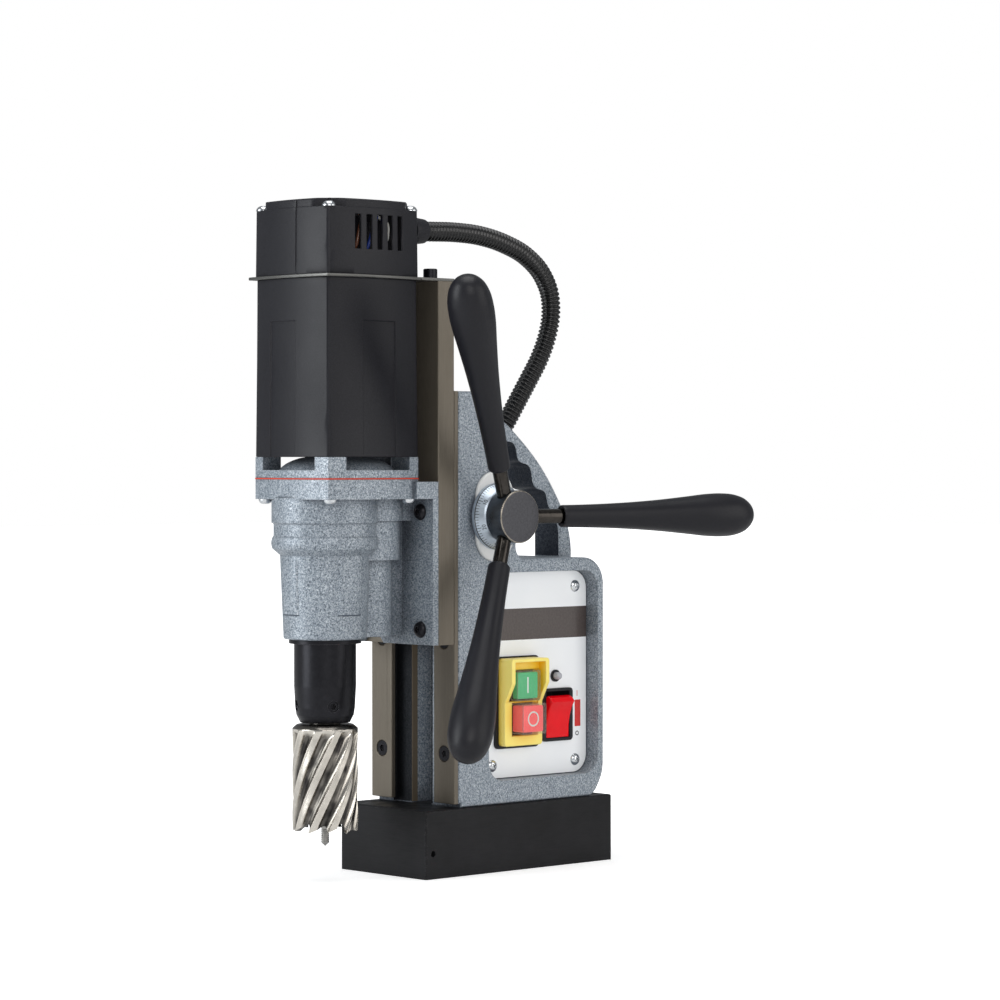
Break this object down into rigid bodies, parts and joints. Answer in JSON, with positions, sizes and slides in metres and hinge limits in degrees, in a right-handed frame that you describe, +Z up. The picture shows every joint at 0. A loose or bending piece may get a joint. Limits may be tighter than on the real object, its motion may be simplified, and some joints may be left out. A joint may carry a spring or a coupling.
{
  "type": "magnetic drill press",
  "caption": "Portable drill press on an electromagnet foot: motor and gearbox slide on a rack, fed by a three-spoke capstan handle, with an annular cutter in the arbor.",
  "frame": {"origin": "centre of the magnet foot underside", "axes": "+Z up along the slide, -Y towards the spindle, +X towards the capstan handle and switches"},
  "size_m": [0.1527, 0.3028, 0.4157],
  "materials": {
    "cast_paint": "hammered silver-grey enamel",
    "magnet_paint": "black enamel",
    "ground_steel": "ground tool steel",
    "black_plastic": "fine-textured black moulding",
    "grip_plastic": "satin black moulded grip",
    "hose_plastic": "corrugated black conduit",
    "black_oxide": "black oxide",
    "bright_screws": "zinc plated",
    "tool_steel": "ground high-speed steel",
    "gear_steel": "machined",
    "plate_steel": "rolled steel sheet",
    "dial_alloy": "anodised, graduated",
    "panel_alloy": "printed plate, white with dark band",
    "flange_white": "off-white",
    "guard_yellow": "moulded yellow",
    "button_green": "moulded green",
    "button_red": "moulded red",
    "rocker_red": "translucent red",
    "clear_cover": "clear moulded cover",
    "lamp_grey": "grey lens",
    "gasket_red": "red gasket",
    "copper": "enamelled copper, potted",
    "lamination": "stacked laminations",
    "bronze": "sintered bronze",
    "board": "circuit board",
    "carbon": "carbon"
  },
  "bodies": {
    "frame": {"magnet_housing": "magnet_paint", "magnet_coil": "copper", "magnet_bolts": "black_oxide", "frame_casting": "cast_paint", "guide_strip_left": "ground_steel", "guide_strip_right": "ground_steel", "guide_strip_screws": "black_oxide", "pinion_flange": "flange_white", "pinion_bushes": "bronze", "panel_plate": "panel_alloy", "panel_screws": "bright_screws", "switch_base": "black_plastic", "switch_guard": "guard_yellow", "rocker_bezel": "black_plastic", "lamp_bezel": "black_plastic", "lamp_lens": "lamp_grey", "control_board": "board", "hose": "hose_plastic"},
    "carriage": {"slide_plate": "ground_steel", "rack": "ground_steel", "gearbox_housing": "cast_paint", "bracket_screws": "black_oxide", "gearbox_gasket": "gasket_red", "gearbox_cover": "cast_paint", "gearbox_screws": "bright_screws", "motor_body": "black_plastic", "support_plate": "plate_steel", "slide_top_screws": "black_oxide", "motor_cap": "black_plastic", "cap_screws": "bright_screws", "stator_core": "lamination", "field_coils": "copper", "carbon_brushes": "carbon", "ball_bearings": "gear_steel", "hose_fitting": "black_plastic"},
    "handle": {"pinion_shaft": "gear_steel", "handle_hub": "black_oxide", "dial_ring": "dial_alloy", "spoke_rear": "black_oxide", "spoke_upper": "black_oxide", "spoke_lower": "black_oxide", "grip_rear": "grip_plastic", "grip_upper": "grip_plastic", "grip_lower": "grip_plastic"},
    "armature": {"armature_shaft": "gear_steel", "armature_core": "lamination", "commutator": "copper", "cooling_fan": "black_plastic"},
    "countershaft": {"countershaft": "gear_steel"},
    "spindle": {"spindle_shaft": "gear_steel", "arbor": "black_oxide", "grub_screws": "black_oxide", "annular_cutter": "tool_steel"},
    "pilot_pin": {"pilot_pin": "tool_steel", "ejector_spring": "gear_steel"},
    "start_button": {"start_button": "button_green", "start_button_cover": "clear_cover"},
    "stop_button": {"stop_button": "button_red", "stop_button_cover": "clear_cover"},
    "rocker": {"rocker": "rocker_red"}
  },
  "joints": [
    {"name": "carriage_slide", "type": "slide", "parent": "frame", "child": "carriage", "axis": [0, 0, 1], "range_m": [-0.095, 0.05], "deforming": ["hose"]},
    {"name": "handle_turn", "type": "hinge", "parent": "frame", "child": "handle", "pos_m": [0.04, -0.0226, 0.2215], "axis": [1, 0, 0], "range_deg": [-239.5, 454.5]},
    {"name": "armature_spin", "type": "hinge", "parent": "carriage", "child": "armature", "pos_m": [0, -0.1171, 0.3], "axis": [0, 0, 1], "continuous": true},
    {"name": "countershaft_spin", "type": "hinge", "parent": "carriage", "child": "countershaft", "pos_m": [0, -0.0981, 0.22], "axis": [0, 0, 1], "continuous": true},
    {"name": "spindle_spin", "type": "hinge", "parent": "carriage", "child": "spindle", "pos_m": [0, -0.1266, 0.15], "axis": [0, 0, 1], "continuous": true},
    {"name": "pilot_slide", "type": "slide", "parent": "spindle", "child": "pilot_pin", "axis": [0, 0, 1], "range_m": [0, 0.032], "stiffness_N_per_m": 120, "springref_m": -0.02, "deforming": ["ejector_spring"]},
    {"name": "start_press", "type": "slide", "parent": "frame", "child": "start_button", "axis": [-1, 0, 0], "range_m": [0, 0.003], "stiffness_N_per_m": 400, "springref_m": -0.002},
    {"name": "stop_press", "type": "slide", "parent": "frame", "child": "stop_button", "axis": [-1, 0, 0], "range_m": [0, 0.003], "stiffness_N_per_m": 400, "springref_m": -0.002},
    {"name": "rocker_tilt", "type": "hinge", "parent": "frame", "child": "rocker", "pos_m": [0.024, 0.0413, 0.0946], "axis": [0, 1, 0], "range_deg": [-24, 0]}
  ],
  "couplings": [
    {"joint": "handle_turn", "follows": "carriage_slide", "rad_per_m": -83.333},
    {"joint": "countershaft_spin", "follows": "armature_spin", "ratio": -0.33333},
    {"joint": "spindle_spin", "follows": "armature_spin", "ratio": 0.098485}
  ]
}
